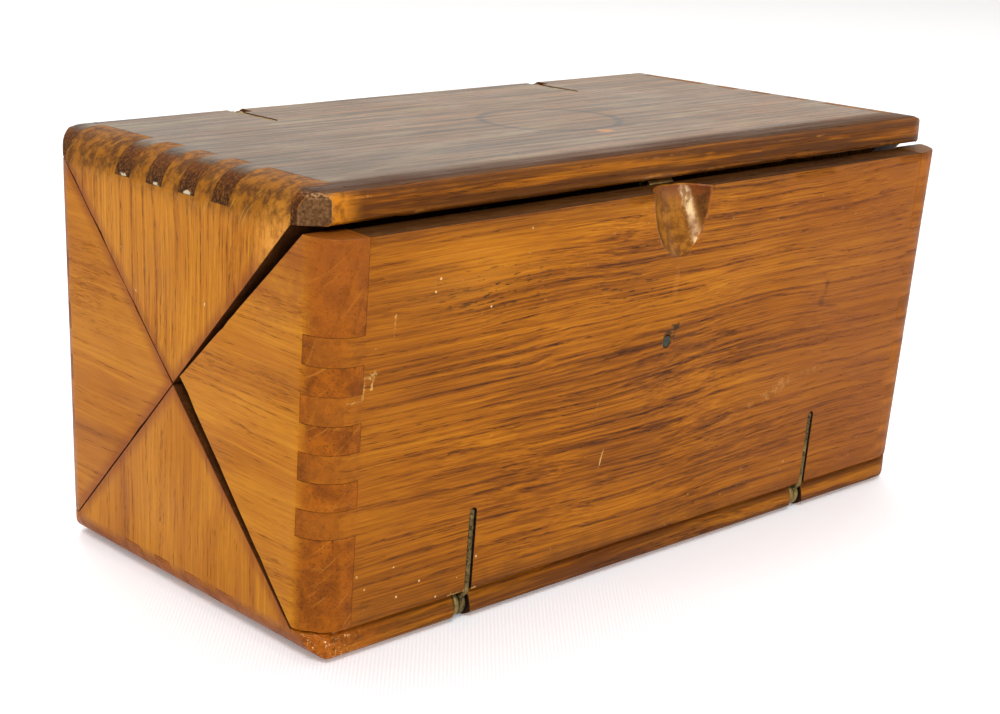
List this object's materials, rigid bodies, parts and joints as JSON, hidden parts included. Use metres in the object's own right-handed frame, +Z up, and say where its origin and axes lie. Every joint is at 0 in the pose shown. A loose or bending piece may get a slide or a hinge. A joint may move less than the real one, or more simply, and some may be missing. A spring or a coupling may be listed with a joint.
{
  "type": "folding wooden attachment box",
  "caption": "Square-section wooden box that unfolds into a row of shallow hinged trays lined with velvet, with sprung clips inside and a thumb notch.",
  "frame": {"origin": "centre of the face that the shut box stands on, between its two ends and under the middle of its square section", "axes": "+X along the box, -Y towards the front panel with the thumb notch, +Z up"},
  "size_m": [0.203, 0.1049, 0.1002],
  "materials": {
    "oak_board": "worn shellac on straight-grained oak",
    "oak_end": "worn shellac on oak, grain across the box",
    "velvet": "dark plum velvet, short pile",
    "hinge_wire": "dull tarnished brass wire",
    "hinge_pin": "dull darkened steel",
    "nail": "small round-headed steel nails",
    "catch_brass": "aged spring brass",
    "nickel_plate": "worn nickel plate, slightly clouded"
  },
  "bodies": {
    "bottom": {"back_hinge_bottom_wire_left": "hinge_wire", "back_hinge_bottom_wire_right": "hinge_wire", "back_hinge_pins": "hinge_pin", "bottom_board": "oak_board", "bottom_end_left": "oak_end", "bottom_end_right": "oak_end", "bottom_lining": "velvet", "bottom_nails": "nail", "bottom_spring_clip_left": "nickel_plate", "bottom_spring_clip_right": "nickel_plate", "foot_rail": "nickel_plate", "front_hinge_bottom_wire_left": "hinge_wire", "front_hinge_bottom_wire_right": "hinge_wire", "front_hinge_pins": "hinge_pin"},
    "front": {"catch_rivet": "catch_brass", "catch_spring": "catch_brass", "front_board": "oak_board", "front_end_left": "oak_end", "front_end_right": "oak_end", "front_hinge_front_wire_left": "hinge_wire", "front_hinge_front_wire_right": "hinge_wire", "front_lining": "velvet", "front_nails": "nail", "tool_clip_left": "nickel_plate", "tool_clip_right": "nickel_plate"},
    "back": {"back_board": "oak_board", "back_end_left": "oak_end", "back_end_right": "oak_end", "back_hinge_back_wire_left": "hinge_wire", "back_hinge_back_wire_right": "hinge_wire", "back_lining": "velvet", "back_nails": "nail", "back_spring_clip_left": "nickel_plate", "back_spring_clip_right": "nickel_plate", "bobbin_trough": "nickel_plate", "lid_hinge_back_wire_left": "hinge_wire", "lid_hinge_back_wire_right": "hinge_wire"},
    "lid": {"lid_board": "oak_board", "lid_end_left": "oak_end", "lid_end_right": "oak_end", "lid_hinge_lid_wire_left": "hinge_wire", "lid_hinge_lid_wire_right": "hinge_wire", "lid_hinge_pins": "hinge_pin", "lid_lining": "velvet", "lid_nails": "nail", "lid_spring_clip": "nickel_plate", "ruffler_bracket": "nickel_plate", "strike_plate": "catch_brass"}
  },
  "joints": [
    {"name": "front_hinge", "type": "hinge", "parent": "bottom", "child": "front", "pos_m": [0, -0.0465, 0.0035], "axis": [1, 0, 0], "range_deg": [-3.2, 86.8]},
    {"name": "back_hinge", "type": "hinge", "parent": "bottom", "child": "back", "pos_m": [0, 0.0465, 0.0035], "axis": [-1, 0, 0], "range_deg": [0, 90]},
    {"name": "lid_hinge", "type": "hinge", "parent": "back", "child": "lid", "pos_m": [0, 0.0465, 0.0965], "axis": [-1, 0, 0], "range_deg": [0, 90]}
  ]
}
